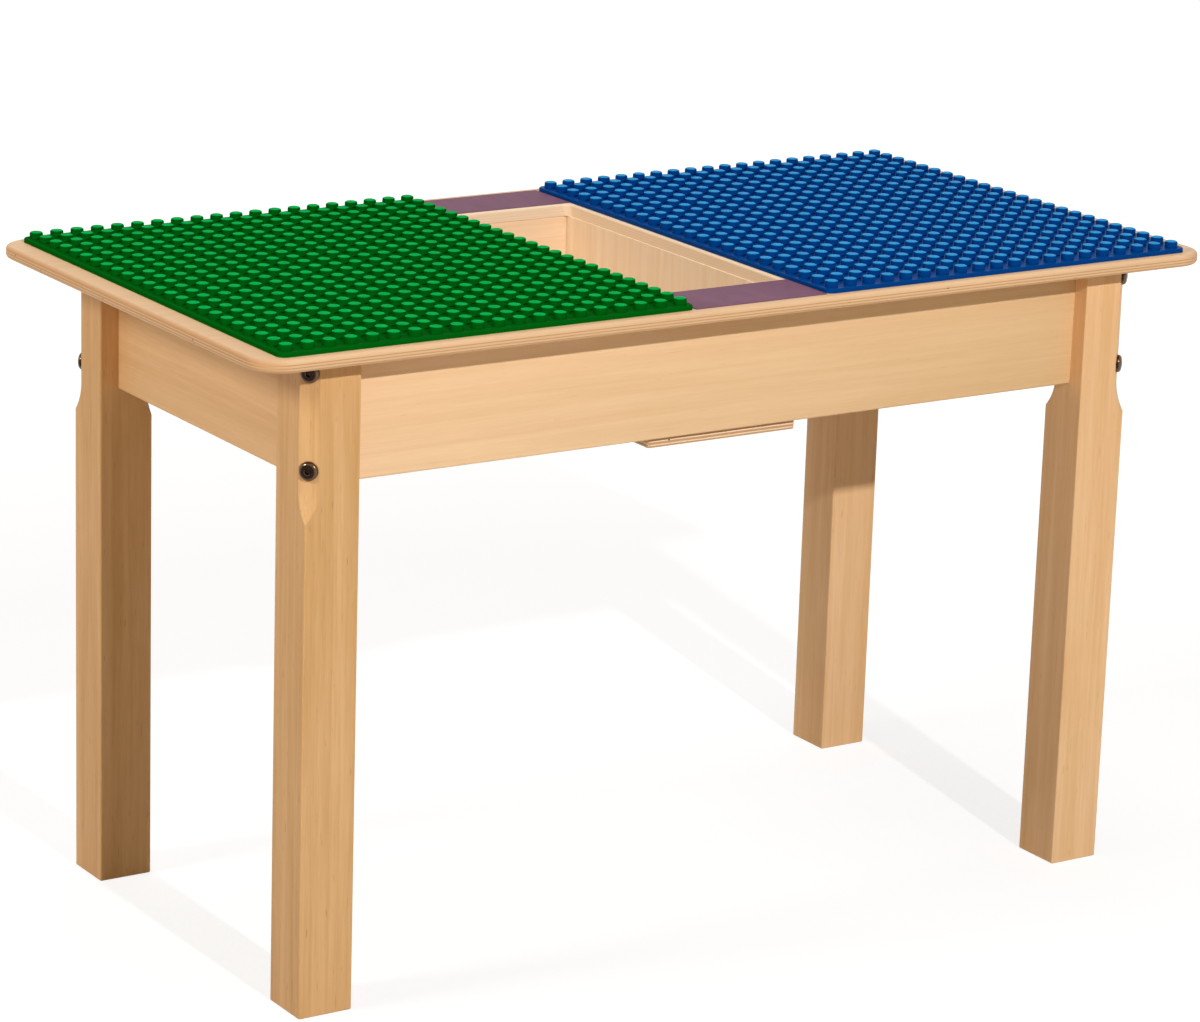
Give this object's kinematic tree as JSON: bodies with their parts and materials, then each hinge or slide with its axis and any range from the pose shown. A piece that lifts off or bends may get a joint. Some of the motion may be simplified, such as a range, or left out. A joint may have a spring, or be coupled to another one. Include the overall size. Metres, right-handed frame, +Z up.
{
  "type": "building block play table",
  "caption": "Low wooden play table on square legs, with a green and a blue studded building plate on its top and an open storage well between them",
  "frame": {"origin": "on the floor, under the middle of the table", "axes": "+X along the length of the table towards the blue plate, +Y from its front to its back, +Z up"},
  "size_m": [0.784, 0.4, 0.4767],
  "materials": {
    "birch_plywood": "clear satin lacquer, ply lines on the rounded edges",
    "maple": "clear satin lacquer",
    "thin_plywood": "clear lacquer",
    "green_plastic": "moulded, glossy",
    "blue_plastic": "moulded, glossy",
    "purple_film": "plain matt film",
    "bronzed_steel": "antique bronze plating, satin",
    "zinc_steel": "zinc plated"
  },
  "bodies": {
    "root": {"table_top": "birch_plywood", "green_baseplate": "green_plastic", "green_studs": "green_plastic", "blue_baseplate": "blue_plastic", "blue_studs": "blue_plastic", "front_label_strip": "purple_film", "back_label_strip": "purple_film", "leg_front_left": "maple", "leg_front_right": "maple", "leg_back_left": "maple", "leg_back_right": "maple", "front_apron": "maple", "back_apron": "maple", "left_apron": "maple", "right_apron": "maple", "corner_block_front_left": "maple", "corner_block_front_right": "maple", "corner_block_back_left": "maple", "corner_block_back_right": "maple", "well_left_wall": "thin_plywood", "well_right_wall": "thin_plywood", "well_bottom": "thin_plywood", "leg_bolts": "bronzed_steel", "tee_nuts": "zinc_steel", "block_screws": "zinc_steel", "top_screws": "zinc_steel", "well_bottom_screws": "zinc_steel"}
  },
  "joints": []
}
